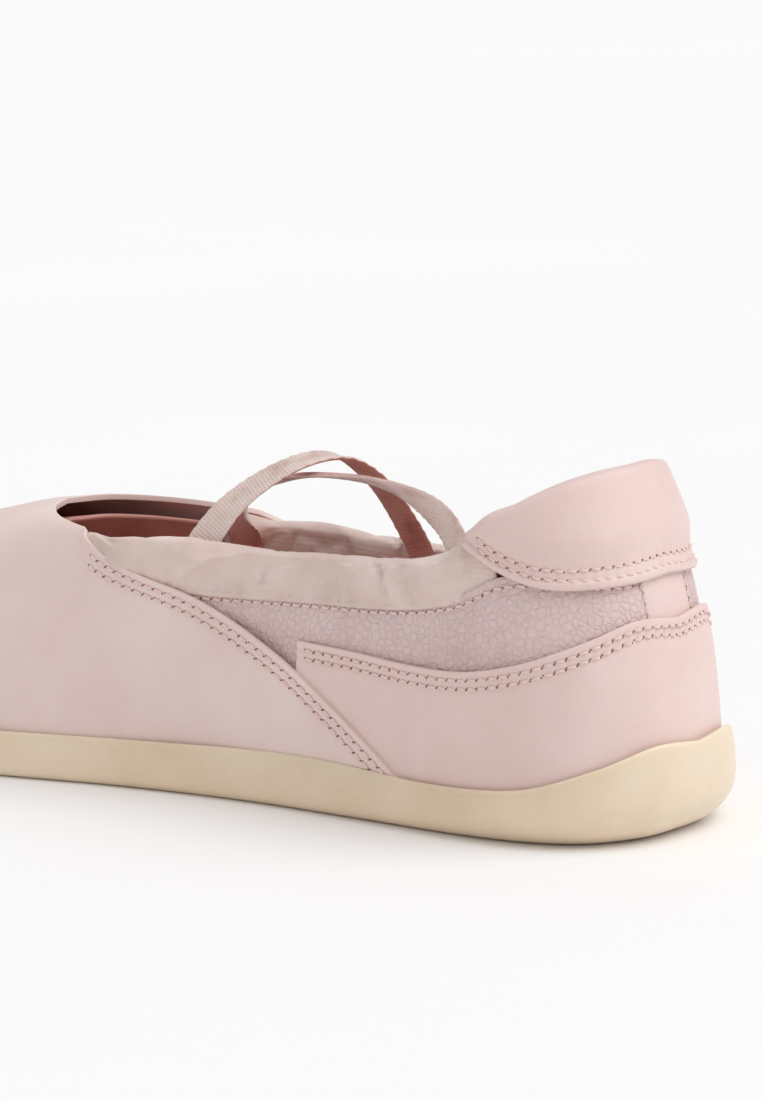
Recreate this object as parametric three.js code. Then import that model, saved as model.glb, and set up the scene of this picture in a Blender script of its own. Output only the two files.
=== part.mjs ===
// Ballet slipper, right foot: a leather and textile upper on a gum cup sole.
// Millimetres. +Y runs to the toe, +X to the wearer's right, +Z up.
//
// Every panel of the upper is cut from one surface, the outer face of the quarter leather.
// A place on it is (s, h): s is the distance round the foot from the centre back, positive on
// the outer side of the foot, and h climbs from 0 in the cup of the sole to 1 at the top line.
// Layers are stacked along that surface's normal, one clearance apart.
import * as THREE from 'three';

// ---------- driving dimensions ----------
const LENGTH = 250;          // outsole, heel to toe
const WIDTH = 88;            // outsole, across the ball of the foot
const HEIGHT = 76;           // ground to the top of the heel tab
const GAP = 0.3;             // clearance between neighbouring pieces
const LEATHER = 1.2;         // upper leather
const OVERLAY = 1.2;         // foxing, vamp and tab leather laid over the quarter
const LINING = 0.9;          // textile lining
const FOAM = 1.9;            // collar and tab foam
const COUNTER = 1.0;         // heel counter and toe puff board
const SOLE_WALL = 2.6;       // thickness of the cup wall
const SOLE_FLOOR = 5;        // thickness under the foot
const BOARD = 1.5;           // insole board
const CUSHION = 2.2;         // midsole cushion
const SOCK = 1.8;            // sock liner
const STRAP_WIDTH = 8;       // woven elastic
const STRAP_THICK = 1.0;
const STATION = 8;           // spacing of the stations round the foot

// The curves below are drawn on a slipper of this size and stretched to the one asked for.
const DRAWN = { length: 246, width: 86.6, height: 76 };
const kx = WIDTH / DRAWN.width;
const ky = LENGTH / DRAWN.length;
const kz = HEIGHT / DRAWN.height;

// ---------- layers, measured outwards from the quarter's outer face ----------
const LAYER = {};
LAYER.quarter = [-LEATHER, 0];
LAYER.collar = [-LEATHER, -0.5];
LAYER.overlay = [GAP, GAP + OVERLAY];
LAYER.vamp = [GAP + 0.3, GAP + OVERLAY];
LAYER.stiffener = [-LEATHER - GAP - COUNTER, -LEATHER - GAP];
LAYER.foam = [-LEATHER - GAP - FOAM, -LEATHER - GAP];
LAYER.lining = [LAYER.foam[0] - GAP - LINING, LAYER.foam[0] - GAP];
LAYER.vampLining = [LAYER.stiffener[0] - GAP - LINING, LAYER.stiffener[0] - GAP];
const CUP_IN = LAYER.overlay[1] + GAP;
const CUP_OUT = CUP_IN + SOLE_WALL;
const FEATHER = SOLE_FLOOR + GAP;

// ---------- smooth curves through a few named places ----------
// knots: [s, value, value, ...] in rising s. Period 0 means the curve has two ends.
function curve(knots, period = 0) {
  const n = knots.length;
  const at = (i) => {
    if (!period) return knots[Math.min(Math.max(i, 0), n - 1)];
    const turns = Math.floor(i / n);
    const k = knots[i - turns * n];
    return [k[0] + turns * period, ...k.slice(1)];
  };
  return (s) => {
    let t = s;
    if (period) t = s - period * Math.floor((s - knots[0][0]) / period);
    else t = Math.min(Math.max(s, knots[0][0]), knots[n - 1][0]);
    let i = 0;
    while (i < n - (period ? 1 : 2) && at(i + 1)[0] <= t) i += 1;
    const [a, b, c, d] = [at(i - 1), at(i), at(i + 1), at(i + 2)];
    const w = c[0] - b[0];
    const u = (t - b[0]) / w;
    const out = [];
    for (let j = 1; j < b.length; j += 1) {
      const mb = c[0] === a[0] ? 0 : ((c[j] - a[j]) / (c[0] - a[0])) * w;
      const mc = d[0] === b[0] ? 0 : ((d[j] - b[j]) / (d[0] - b[0])) * w;
      const u2 = u * u;
      const u3 = u2 * u;
      out.push((2 * u3 - 3 * u2 + 1) * b[j] + (u3 - 2 * u2 + u) * mb
        + (3 * u2 - 2 * u3) * c[j] + (u3 - u2) * mc);
    }
    return out;
  };
}

const TIP = 275;                                   // s at the tip of the toe
const ROUND = 2 * TIP;
// Where the upper stands in the cup, seen from above.
const footprint = curve([
  [-275, -5, 241.6], [-256, -21.5, 236], [-236, -33.5, 221], [-213, -38.8, 198],
  [-190, -38.2, 175], [-165, -34, 150.5], [-135, -27.5, 121.5], [-105, -24.4, 92],
  [-75, -25.4, 62], [-50, -27.2, 37], [-35, -26, 22], [-24, -21.2, 12.2],
  [-12, -11.9, 5.8], [0, 0, 4.4], [12, 11.9, 5.8], [24, 21.2, 12.2],
  [35, 26.2, 22], [50, 28, 37], [75, 28.4, 62], [105, 29.5, 92],
  [135, 32.5, 121.5], [165, 37.2, 150.5], [190, 38.6, 175], [213, 35, 198],
  [236, 26.5, 219], [256, 13, 235],
], ROUND);
// The top line: tab, collar and the sides of the throat.
const collarLine = curve([
  [-190, -1, 158, 51.5], [-180, -8.5, 155, 51.2],
  [-165, -17.5, 146, 51], [-150, -23.5, 133, 51], [-135, -25.3, 118, 51],
  [-105, -23.2, 90, 50.5], [-75, -24.1, 63, 52.3], [-60, -25, 49, 54.9],
  [-48, -25.6, 38.5, 60], [-35, -23.2, 31.5, 68.2], [-24, -17.9, 25.5, 72.5],
  [-12, -9.8, 21.2, 74.8], [0, 0, 19.6, 75.2],
  [12, 9.8, 21.2, 74.8], [24, 17.9, 25.5, 72.5], [35, 23.4, 31.5, 67.3],
  [48, 26.3, 38.5, 58], [60, 26.6, 49, 51.6], [75, 26.7, 63, 48.3],
  [105, 27.5, 90, 46.3], [135, 29.5, 118, 47.2], [150, 26, 133, 48.6],
  [165, 19, 146, 50.2], [180, 9.5, 155, 51.2], [190, -1, 158, 51.5],
]);
// The ridge of the vamp, from the middle of the throat down to the toe.
const ridgeLine = curve([
  [190, -1, 158, 51.5], [200, -1.5, 163, 50.5], [213, -2, 174, 47.5], [236, -3, 196, 41],
  [256, -4, 212, 36], [275, -5, 224, 32],
]);
// 0 where the upper is a wall round the heel, 1 where it is the vault of the vamp.
const vault = curve([[0, 0], [70, 0.05], [120, 0.45], [165, 0.9], [200, 1], [275, 1]]);

// ---------- heights round the slipper, by distance from the centre back ----------
const soleTop = curve([[0, 19.4], [12, 20.2], [24, 16.3], [38, 11.6], [60, 10.2], [90, 11.4],
  [130, 10.2], [170, 9.6], [215, 10], [250, 11.5], [275, 12.5]]);
const soleLift = curve([[0, 10], [15, 9], [30, 6.5], [45, 4.6], [75, 3], [200, 2.5],
  [240, 3.5], [275, 5]]);
const foxingTop = curve([[0, 43.4], [12, 44.2], [24, 40.8], [38, 36.1], [52, 33.3], [66, 33.1],
  [80, 34], [110, 35]]);
const quarterTop = curve([[0, 53.6], [15, 52.9], [30, 53.6], [42, 52.6], [55, 47.4], [70, 44.8],
  [90, 43.8], [120, 42.6], [150, 43]]);
// The outer side of the collar is cut lower, under the ankle bone.
const outerDip = curve([[40, 0], [60, 3.6], [120, 4], [150, 2.4]]);
const tabBottom = curve([[0, 51.9], [15, 51], [30, 50.9], [40, 53.6], [50, 58.3]]);
const wingTop = curve([[64, 7.5], [72, 13.5], [84, 22], [100, 32], [120, 40.5], [140, 46],
  [152, 50.5]]);
const WING_END = 64;          // the vamp's wings run down to the sole line here
const WING_TOP = 152;         // and reach the top line here
const QUARTER_END = 150;
const TAB_END = 48;
const BACKSTAY = 8;
const THROAT = 190;

// ---------- the surface ----------
const folded = (s) => Math.abs(s - ROUND * Math.round(s / ROUND));

function surface(s, h) {
  const [bx, by] = footprint(s);
  const d = folded(s);
  const [tx, ty, tz] = d >= THROAT ? ridgeLine(d) : collarLine(s - ROUND * Math.round(s / ROUND));
  const k = vault(d)[0];
  const g = (1 - k) * Math.pow(h, 2.3) + k * (1 - Math.cos((Math.PI * h) / 2));
  const f = (1 - k) * h + k * Math.sin((Math.PI * h) / 2);
  const lowest = FEATHER;
  return new THREE.Vector3(
    (bx + (tx - bx) * g) * kx,
    (by + (ty - by) * g) * ky,
    lowest + (tz * kz - lowest) * f,
  );
}

function outward(s, h) {
  const e = 0.5;
  const lo = Math.max(h - 0.01, 0);
  const hi = Math.min(h + 0.01, 1);
  const along = surface(s + e, h).sub(surface(s - e, h));
  const up = surface(s, hi).sub(surface(s, lo));
  return along.cross(up).normalize();
}

// h at a given height above the ground
function climb(s, z) {
  let lo = 0;
  let hi = 1;
  for (let i = 0; i < 30; i += 1) {
    const mid = (lo + hi) / 2;
    if (surface(s, mid).z < z) lo = mid; else hi = mid;
  }
  return (lo + hi) / 2;
}

const outerSide = (s) => s - ROUND * Math.round(s / ROUND) > 0;
const heightOf = (line, by = 0) => (s) => {
  const dip = line === quarterTop && outerSide(s) ? outerDip(folded(s))[0] : 0;
  return climb(s, (line(folded(s))[0] - dip) * kz + by);
};

// ---------- solids ----------
// Every panel has its rows at the same places round the foot, and at its own two ends.
const COMMON = [];
for (let d = 0; d < TIP - 2; d += d < 56 || d > 224 ? STATION / 2 : STATION) COMMON.push(d);
const RING = [...COMMON.map((d) => d), TIP, ...COMMON.slice(1).reverse().map((d) => ROUND - d)];

function stations(start, end) {
  const [from, to] = [Math.min(start, end), Math.max(start, end)];
  const all = [...RING.map((s) => s - ROUND), ...RING];
  return [from, ...all.filter((s) => s > from + 0.8 && s < to - 0.8), to];
}

// A grid of (s, h) places: rows along s, columns from the bottom edge to the top edge.
function grid(from, to, bottom, top, columns) {
  return stations(from, to).map((s) => {
    const a = bottom(s);
    const b = top(s);
    return Array.from({ length: columns + 1 }, (_, j) => [s, a + ((b - a) * j) / columns]);
  });
}

function meshFrom(name, positions, triangles, look) {
  let volume = 0;
  for (const [a, b, c] of triangles) {
    volume += positions[a].dot(positions[b].clone().cross(positions[c])) / 6;
  }
  const order = volume < 0 ? triangles.map(([a, b, c]) => [a, c, b]) : triangles;
  const geometry = new THREE.BufferGeometry();
  geometry.setAttribute('position', new THREE.Float32BufferAttribute(
    positions.flatMap((p) => [p.x, p.y, p.z]), 3));
  geometry.setIndex(order.flat());
  geometry.computeVertexNormals();
  const mesh = new THREE.Mesh(geometry, new THREE.MeshStandardMaterial(look));
  mesh.name = name;
  return mesh;
}

// Quads between the rows of one or more grids, with places that coincide joined.
function joinGrids(grids, placeOf) {
  const index = new Map();
  const places = [];
  const triangles = [];
  const idOf = (cell) => {
    const p = placeOf(cell);
    const key = [p.x, p.y, p.z].map((v) => Math.round(v * 500)).join(',');
    if (!index.has(key)) {
      index.set(key, places.length);
      places.push({ point: p, cells: [] });
    }
    const id = index.get(key);
    places[id].cells.push(cell);
    return id;
  };
  grids.forEach((rows, g) => {
    const ids = rows.map((row) => row.map(idOf));
    for (let i = 0; i + 1 < ids.length; i += 1) {
      for (let j = 0; j + 1 < ids[i].length; j += 1) {
        const [a, b, c, d] = [ids[i][j], ids[i + 1][j], ids[i + 1][j + 1], ids[i][j + 1]];
        for (const t of [[a, b, c], [a, c, d]]) {
          if (t[0] !== t[1] && t[1] !== t[2] && t[0] !== t[2]) triangles.push(t);
        }
      }
    }
  });
  return { places, triangles };
}

// A layer of material between two distances from the surface.
function panel(name, grids, [near, far], look) {
  const { places, triangles } = joinGrids(grids, ([s, h]) => surface(s, h));
  const n = places.length;
  const positions = [];
  for (const d of [far, near]) {
    for (const place of places) {
      const normal = new THREE.Vector3();
      for (const [s, h] of place.cells) normal.add(outward(s, h));
      positions.push(place.point.clone().addScaledVector(normal.normalize(), d));
    }
  }
  const edges = new Map();
  for (const [a, b, c] of triangles) {
    for (const [p, q] of [[a, b], [b, c], [c, a]]) edges.set(`${p},${q}`, [p, q]);
  }
  const faces = [...triangles, ...triangles.map(([a, b, c]) => [a + n, c + n, b + n])];
  for (const [p, q] of edges.values()) {
    if (!edges.has(`${q},${p}`)) faces.push([q, p, p + n], [q, p + n, q + n]);
  }
  return meshFrom(name, positions, faces, look);
}

// ---------- the sole and what lies in it ----------
// Both sides of the sole meet on this line.
const spine = curve([[0, 0, 30], [60, 0, 60], [150, -1, 145], [220, -4, 195], [275, -5, 215]]);

function sidePoint(s, d, z) {
  const e = 0.5;
  const [x0, y0] = footprint(s - e);
  const [x1, y1] = footprint(s + e);
  const [x, y] = footprint(s);
  const n = new THREE.Vector2((y1 - y0) * ky, -(x1 - x0) * kx).normalize();
  return new THREE.Vector3(x * kx + n.x * d, y * ky + n.y * d, z);
}

function spinePoint(s, z) {
  const [x, y] = spine(folded(s));
  return new THREE.Vector3(x * kx, y * ky, z);
}

function solidOfRevolutionRoundSpine(name, profile, look) {
  const rows = stations(-TIP, TIP).map((s) => profile(s));
  const index = new Map();
  const points = [];
  const idOf = (p) => {
    const key = [p.x, p.y, p.z].map((v) => Math.round(v * 500)).join(',');
    if (!index.has(key)) {
      index.set(key, points.length);
      points.push(p);
    }
    return index.get(key);
  };
  const ids = rows.map((row) => row.map(idOf));
  const triangles = [];
  for (let i = 0; i + 1 < ids.length; i += 1) {
    for (let j = 0; j + 1 < ids[i].length; j += 1) {
      const [a, b, c, d] = [ids[i][j], ids[i + 1][j], ids[i + 1][j + 1], ids[i][j + 1]];
      for (const t of [[a, b, c], [a, c, d]]) {
        if (t[0] !== t[1] && t[1] !== t[2] && t[0] !== t[2]) triangles.push(t);
      }
    }
  }
  return meshFrom(name, points, triangles, look);
}

function outsole(look) {
  return solidOfRevolutionRoundSpine('outsole', (s) => {
    const d = folded(s);
    const top = soleTop(d)[0] * kz;
    const lift = soleLift(d)[0];
    const tuck = Math.min(lift, 7);
    const profile = [spinePoint(s, 0)];
    for (const a of [0, 0.25, 0.5, 0.75, 1]) {
      const turn = (a * Math.PI) / 2;
      profile.push(sidePoint(s, CUP_OUT - tuck * (1 - Math.sin(turn)),
        lift * (1 - Math.cos(turn))));
    }
    profile.push(sidePoint(s, CUP_OUT, (lift + top) / 2));
    profile.push(sidePoint(s, CUP_OUT - 0.4, top - 0.7));
    profile.push(sidePoint(s, CUP_OUT - 1.3, top));
    profile.push(sidePoint(s, CUP_IN, top - 0.3));
    profile.push(sidePoint(s, CUP_IN, SOLE_FLOOR));
    profile.push(spinePoint(s, SOLE_FLOOR));
    return profile;
  }, look);
}

function bed(name, inset, low, high, look) {
  return solidOfRevolutionRoundSpine(name, (s) => [
    spinePoint(s, low), sidePoint(s, -inset, low),
    sidePoint(s, -inset, high), spinePoint(s, high),
  ], look);
}

// ---------- straps ----------
// A place just inside the lining, where a strap's end is sewn down.
const SEAT = LAYER.lining[0] - GAP - STRAP_THICK / 2 - 0.5;
function sewn(s, h, lean = 0) {
  const p = surface(s, h).addScaledVector(outward(s, h), SEAT);
  const along = surface(s + 1, h).sub(surface(s - 1, h)).normalize();
  const up = surface(s, Math.min(h + 0.01, 1)).sub(surface(s, h - 0.01)).normalize();
  return [p, along.multiplyScalar(Math.cos(lean)).addScaledVector(up, Math.sin(lean))];
}

function free(x, y, z, side) {
  return [new THREE.Vector3(x * kx, y * ky, z * kz), new THREE.Vector3(...side).normalize()];
}

// A band through the given places; each one's second vector says which way its width lies.
function strap(name, places, look) {
  const centre = new THREE.CatmullRomCurve3(places.map((p) => p[0]), false, 'centripetal');
  const sides = places.map((p) => p[1].clone());
  for (let i = 1; i < sides.length; i += 1) {
    if (sides[i].dot(sides[i - 1]) < 0) sides[i].negate();
  }
  const n = 36;
  const positions = [];
  for (let i = 0; i <= n; i += 1) {
    const t = i / n;
    const p = centre.getPoint(t);
    const forward = centre.getTangent(t);
    const seat = t * (places.length - 1);
    const k = Math.min(Math.floor(seat), places.length - 2);
    const side = sides[k].clone().lerp(sides[k + 1], seat - k);
    side.addScaledVector(forward, -side.dot(forward)).normalize();
    const up = forward.clone().cross(side).normalize();
    for (const [a, b] of [[-1, -1], [1, -1], [1, 1], [-1, 1]]) {
      positions.push(p.clone().addScaledVector(side, (a * STRAP_WIDTH) / 2)
        .addScaledVector(up, (b * STRAP_THICK) / 2));
    }
  }
  const faces = [[0, 1, 2], [0, 2, 3]];
  for (let i = 0; i < n; i += 1) {
    for (let j = 0; j < 4; j += 1) {
      const a = i * 4 + j;
      const b = i * 4 + ((j + 1) % 4);
      faces.push([a, a + 4, b + 4], [a, b + 4, b]);
    }
  }
  const e = n * 4;
  faces.push([e, e + 2, e + 1], [e, e + 3, e + 2]);
  return meshFrom(name, positions, faces, look);
}

// ---------- materials ----------
const look = (color, roughness, metalness = 0) => ({ color, roughness, metalness });
const SMOOTH_LEATHER = look(0xebdad4, 0.42);
const GRAIN_LEATHER = look(0xd4c4c4, 0.5);
const SATIN = look(0xd8c4bb, 0.55);
const LINING_LOOK = look(0xac7a6e, 0.8);
const FOAM_LOOK = look(0xe8e0c8, 0.9);
const BOARD_LOOK = look(0xb59a78, 0.85);
const GUM = look(0xe7d4bd, 0.4);
const ELASTIC = look(0xd9a99b, 0.7);

// ---------- assembly ----------
const slipper = new THREE.Group();
slipper.name = 'ballet_slipper';
const zero = () => 0;
const full = () => 1;
const SIDES = [['medial', -1], ['lateral', 1]];

slipper.add(outsole(GUM));
const LEAN = 1.2;             // the walls lean in a little before the sock liner is reached
const inner = -LAYER.lining[0] + GAP + LEAN;
let level = SOLE_FLOOR + GAP;
for (const [name, thick, finish] of [['insole_board', BOARD, BOARD_LOOK],
  ['midsole_cushion', CUSHION, FOAM_LOOK], ['sock_liner', SOCK, LINING_LOOK]]) {
  slipper.add(bed(name, inner, level, level + thick, finish));
  level += thick + GAP;
}

for (const [side, sign] of SIDES) {
  slipper.add(panel(`quarter_${side}`,
    [grid(sign * (BACKSTAY + GAP), sign * QUARTER_END, zero, heightOf(quarterTop), 5)],
    LAYER.quarter, GRAIN_LEATHER));
  slipper.add(panel(`collar_${side}`,
    [grid(sign * (TAB_END + GAP), sign * QUARTER_END, heightOf(quarterTop, GAP), full, 4)],
    LAYER.collar, SATIN));
  slipper.add(panel(`collar_foam_${side}`,
    [grid(sign * (TAB_END + 2), sign * QUARTER_END, heightOf(quarterTop), () => 0.97, 3)],
    LAYER.foam, FOAM_LOOK));
  slipper.add(panel(`quarter_lining_${side}`,
    [grid(sign * (TAB_END + GAP), sign * QUARTER_END, zero, full, 5)],
    LAYER.lining, LINING_LOOK));
}
slipper.add(panel('backstay',
  [grid(-BACKSTAY, BACKSTAY, zero, heightOf(quarterTop), 5)],
  LAYER.quarter, SMOOTH_LEATHER));
slipper.add(panel('heel_counter',
  [grid(-TAB_END, TAB_END, zero, heightOf(tabBottom, -8), 4)],
  LAYER.stiffener, BOARD_LOOK));

const foxingEdge = (s) => Math.min(climb(s, foxingTop(folded(s))[0] * kz), 1);
const wingEdge = (s) => (folded(s) >= WING_TOP ? 1 : climb(s, wingTop(folded(s))[0] * kz));
const FOXING_END = 94;
const foxingFoot = (s) => (folded(s) <= WING_END - 1 ? 0
  : Math.min(climb(s, wingTop(folded(s))[0] * kz + 1.2), foxingEdge(s) - 0.02));
slipper.add(panel('heel_foxing', [grid(-FOXING_END, FOXING_END, foxingFoot, foxingEdge, 4)],
  LAYER.overlay, SMOOTH_LEATHER));
slipper.add(panel('heel_tab',
  [grid(-TAB_END, TAB_END, heightOf(tabBottom), full, 4)],
  LAYER.overlay, SMOOTH_LEATHER));
slipper.add(panel('heel_tab_foam',
  [grid(-TAB_END, TAB_END, heightOf(tabBottom, -7), () => 0.97, 4)],
  LAYER.foam, FOAM_LOOK));
slipper.add(panel('heel_lining', [grid(-TAB_END, TAB_END, zero, full, 6)],
  LAYER.lining, LINING_LOOK));

const halves = (from, edge, columns) => SIDES.flatMap(([, sign]) => [
  grid(sign * from, sign * THROAT, zero, edge, columns),
  grid(sign * THROAT, sign * TIP, zero, edge, columns)]);
slipper.add(panel('vamp', halves(WING_END, wingEdge, 11), LAYER.vamp, SMOOTH_LEATHER));
slipper.add(panel('vamp_lining', halves(QUARTER_END + 3, wingEdge, 11), LAYER.vampLining,
  LINING_LOOK));
slipper.add(panel('toe_puff', [grid(232, ROUND - 232, zero, () => 0.8, 5)],
  LAYER.stiffener, BOARD_LOOK));

// Each is sewn inside the collar at both ends. The first starts at the tab's inner corner and
// runs forward to the throat's outer side; the second crosses the instep over it.
slipper.add(strap('strap_medial_rear', [
  sewn(-44, 0.66, 0.8), sewn(-49, 0.79, 0.8), sewn(-54, 0.93, 0.85),
  free(-15, 54, 61.5, [0.35, 0.55, -0.75]), free(-8, 74, 65.5, [0.85, 0.1, -0.4]),
  free(0, 97, 64, [1, -0.3, -0.1]), free(9, 115, 59.5, [1, -0.3, 0]),
  free(15.5, 125, 54, [0.9, 0.4, 0.1]), sewn(147, 0.9), sewn(147, 0.72)], ELASTIC));
slipper.add(strap('strap_lateral_rear', [
  sewn(97, 0.66), sewn(97, 0.8), sewn(97, 0.94), free(17, 86.5, 54, [0, 1, 0.1]),
  free(9.5, 88, 62.5, [0.1, 1, 0]), free(1.5, 91.5, 67.8, [0.25, 1, 0.05]),
  free(-7.5, 97, 66.3, [0.4, 1, 0.1]), free(-15.5, 105, 59, [0.2, 1, 0.1]),
  sewn(-125, 0.95), sewn(-125, 0.8), sewn(-125, 0.66)],
ELASTIC));

// ---------- place it on the ground, centred ----------
const size = new THREE.Box3().setFromObject(slipper);
const middle = size.getCenter(new THREE.Vector3());
for (const mesh of slipper.children) {
  mesh.geometry.translate(-middle.x, -middle.y, -size.min.z);
}

export default slipper;
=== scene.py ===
"""Ballet slipper, right foot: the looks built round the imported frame. Lengths are in millimetres
and are turned to metres when a mesh is made."""

import math

import bmesh
import bpy
import numpy as np
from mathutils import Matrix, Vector


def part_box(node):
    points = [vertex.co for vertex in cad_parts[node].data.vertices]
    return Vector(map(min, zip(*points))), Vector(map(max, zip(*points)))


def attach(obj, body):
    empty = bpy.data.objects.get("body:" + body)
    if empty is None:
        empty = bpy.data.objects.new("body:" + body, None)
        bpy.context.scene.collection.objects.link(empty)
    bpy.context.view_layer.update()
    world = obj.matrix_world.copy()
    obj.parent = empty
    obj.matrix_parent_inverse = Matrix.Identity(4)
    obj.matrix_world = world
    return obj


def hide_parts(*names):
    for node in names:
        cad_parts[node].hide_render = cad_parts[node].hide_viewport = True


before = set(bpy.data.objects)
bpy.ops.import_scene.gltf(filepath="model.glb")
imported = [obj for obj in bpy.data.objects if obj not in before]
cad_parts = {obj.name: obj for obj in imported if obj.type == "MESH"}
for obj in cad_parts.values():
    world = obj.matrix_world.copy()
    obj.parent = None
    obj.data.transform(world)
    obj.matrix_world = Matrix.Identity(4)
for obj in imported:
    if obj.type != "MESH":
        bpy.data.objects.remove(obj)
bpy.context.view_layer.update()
rng = np.random.default_rng(7)

# ---------- the slipper's own shape ----------
WIDTH, LENGTH, HEIGHT = 88, 250, 76
DRAWN = (86.6, 246, 76)
KX, KY, KZ = WIDTH / DRAWN[0], LENGTH / DRAWN[1], HEIGHT / DRAWN[2]
TIP, ROUND, THROAT = 275.0, 550.0, 190.0
FEATHER = 5.3
SOLE_CENTRE = (-0.227, 125.0)
_low, _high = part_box("outsole")
MX, MY = (SOLE_CENTRE[i] - 0.5 * (_low[i] + _high[i]) * 1000 for i in (0, 1))


def curve(knots):
    """A smooth curve through [s, value, ...] places; takes and returns arrays."""
    k = np.array(knots, float)
    s, v = k[:, 0], k[:, 1:]
    n = len(s)
    lo, hi = np.maximum(np.arange(n) - 1, 0), np.minimum(np.arange(n) + 1, n - 1)
    m = (v[hi] - v[lo]) / (s[hi] - s[lo])[:, None]

    def at(x):
        x = np.clip(np.asarray(x, float), s[0], s[-1])
        i = np.clip(np.searchsorted(s, x, "right") - 1, 0, n - 2)
        w = s[i + 1] - s[i]
        u = ((x - s[i]) / w)[..., None]
        w = w[..., None]
        out = ((2 * u**3 - 3 * u**2 + 1) * v[i] + (u**3 - 2 * u**2 + u) * w * m[i]
               + (3 * u**2 - 2 * u**3) * v[i + 1] + (u**3 - u**2) * w * m[i + 1])
        return out[..., 0] if out.shape[-1] == 1 else out
    return at


def mirrored(line):
    """A height line given by distance from the centre back, read at a signed place."""
    c = curve(line)
    return lambda s: c(folded(s)) * KZ


def wrap(s):
    return s - ROUND * np.floor((s + TIP) / ROUND)


def folded(s):
    return np.abs(s - ROUND * np.round(s / ROUND))


_foot = [
  [-275, -5, 241.6], [-256, -21.5, 236], [-236, -33.5, 221], [-213, -38.8, 198],
  [-190, -38.2, 175], [-165, -34, 150.5], [-135, -27.5, 121.5], [-105, -24.4, 92],
  [-75, -25.4, 62], [-50, -27.2, 37], [-35, -26, 22], [-24, -21.2, 12.2],
  [-12, -11.9, 5.8], [0, 0, 4.4], [12, 11.9, 5.8], [24, 21.2, 12.2],
  [35, 26.2, 22], [50, 28, 37], [75, 28.4, 62], [105, 29.5, 92],
  [135, 32.5, 121.5], [165, 37.2, 150.5], [190, 38.6, 175], [213, 35, 198],
  [236, 26.5, 219], [256, 13, 235]]
_footprint = curve([[k[0] - ROUND] + k[1:] for k in _foot[-3:]] + _foot
                   + [[k[0] + ROUND] + k[1:] for k in _foot[:3]])
_collar = curve([
    [-190, -1, 158, 51.5], [-180, -8.5, 155, 51.2],
    [-165, -17.5, 146, 51], [-150, -23.5, 133, 51], [-135, -25.3, 118, 51],
    [-105, -23.2, 90, 50.5], [-75, -24.1, 63, 52.3], [-60, -25, 49, 54.9],
    [-48, -25.6, 38.5, 60], [-35, -23.2, 31.5, 68.2], [-24, -17.9, 25.5, 72.5],
    [-12, -9.8, 21.2, 74.8], [0, 0, 19.6, 75.2],
    [12, 9.8, 21.2, 74.8], [24, 17.9, 25.5, 72.5], [35, 23.4, 31.5, 67.3],
    [48, 26.3, 38.5, 58], [60, 26.6, 49, 51.6], [75, 26.7, 63, 48.3],
    [105, 27.5, 90, 46.3], [135, 29.5, 118, 47.2], [150, 26, 133, 48.6],
    [165, 19, 146, 50.2], [180, 9.5, 155, 51.2], [190, -1, 158, 51.5]])
_ridge = curve([
    [190, -1, 158, 51.5], [200, -1.5, 163, 50.5], [213, -2, 174, 47.5], [236, -3, 196, 41],
    [256, -4, 212, 36], [275, -5, 224, 32]])
_vault = curve([[0, 0], [70, 0.05], [120, 0.45], [165, 0.9], [200, 1], [275, 1]])

sole_top = mirrored([[0, 19.4], [12, 20.2], [24, 16.3], [38, 11.6], [60, 10.2], [90, 11.4],
  [130, 10.2], [170, 9.6], [215, 10], [250, 11.5], [275, 12.5]])
sole_lift = mirrored([[0, 10.5], [15, 10], [30, 8.2], [45, 6.4], [75, 4.2], [120, 3],
                      [200, 2.5], [240, 3.5], [275, 5]])
foxing_top = mirrored([[0, 43.4], [12, 44.2], [24, 40.8], [38, 36.1], [52, 33.3], [66, 33.1],
  [80, 34], [110, 35]])
_level_quarter = mirrored([[0, 53.6], [15, 52.9], [30, 53.6], [42, 52.6], [55, 47.4], [70, 44.8],
  [90, 43.8], [120, 42.6], [150, 43]])
_outer_dip = curve([[40, 0], [60, 3.6], [120, 4], [150, 2.4]])


def quarter_top(s):
    """The collar is cut lower on the outer side, under the ankle bone."""
    s = np.asarray(s, float)
    return _level_quarter(s) - _outer_dip(folded(s)) * (wrap(s) > 0)


tab_bottom = mirrored([[0, 51.9], [15, 51], [30, 50.9], [40, 53.6], [50, 58.3]])
wing_top = mirrored([[64, 7.5], [72, 13.5], [84, 22], [100, 32], [120, 40.5], [140, 46],
                     [152, 50.5]])
WING_END, WING_TOP, QUARTER_END, TAB_END, BACKSTAY = 64.0, 152.0, 150.0, 48.0, 8.0
FOX_END = 94.0
LINING_IN, VAMP_IN = -4.6, -3.7
CUP_IN, CUP_OUT, SOLE_FLOOR = 1.8, 4.4, 5.0


def surface(s, h):
    """The outer face of the quarter at (s, h), in millimetres."""
    s, h = np.broadcast_arrays(np.asarray(s, float), np.asarray(h, float))
    w = wrap(s)
    b = _footprint(w)
    d = folded(s)
    t = np.where((d >= THROAT)[..., None], _ridge(d), _collar(w))
    k = _vault(d)
    hh = np.clip(h, 0, None)
    g = (1 - k) * hh**2.3 + k * (1 - np.cos(np.pi * np.clip(hh, 0, 1) / 2))
    f = (1 - k) * h + k * np.sin(np.pi * np.clip(h, -1, 1) / 2)
    return np.stack([(b[..., 0] + (t[..., 0] - b[..., 0]) * g) * KX,
                     (b[..., 1] + (t[..., 1] - b[..., 1]) * g) * KY,
                     FEATHER + (t[..., 2] * KZ - FEATHER) * f], -1)


def unit(v):
    return v / np.maximum(np.linalg.norm(v, axis=-1, keepdims=True), 1e-9)


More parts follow.
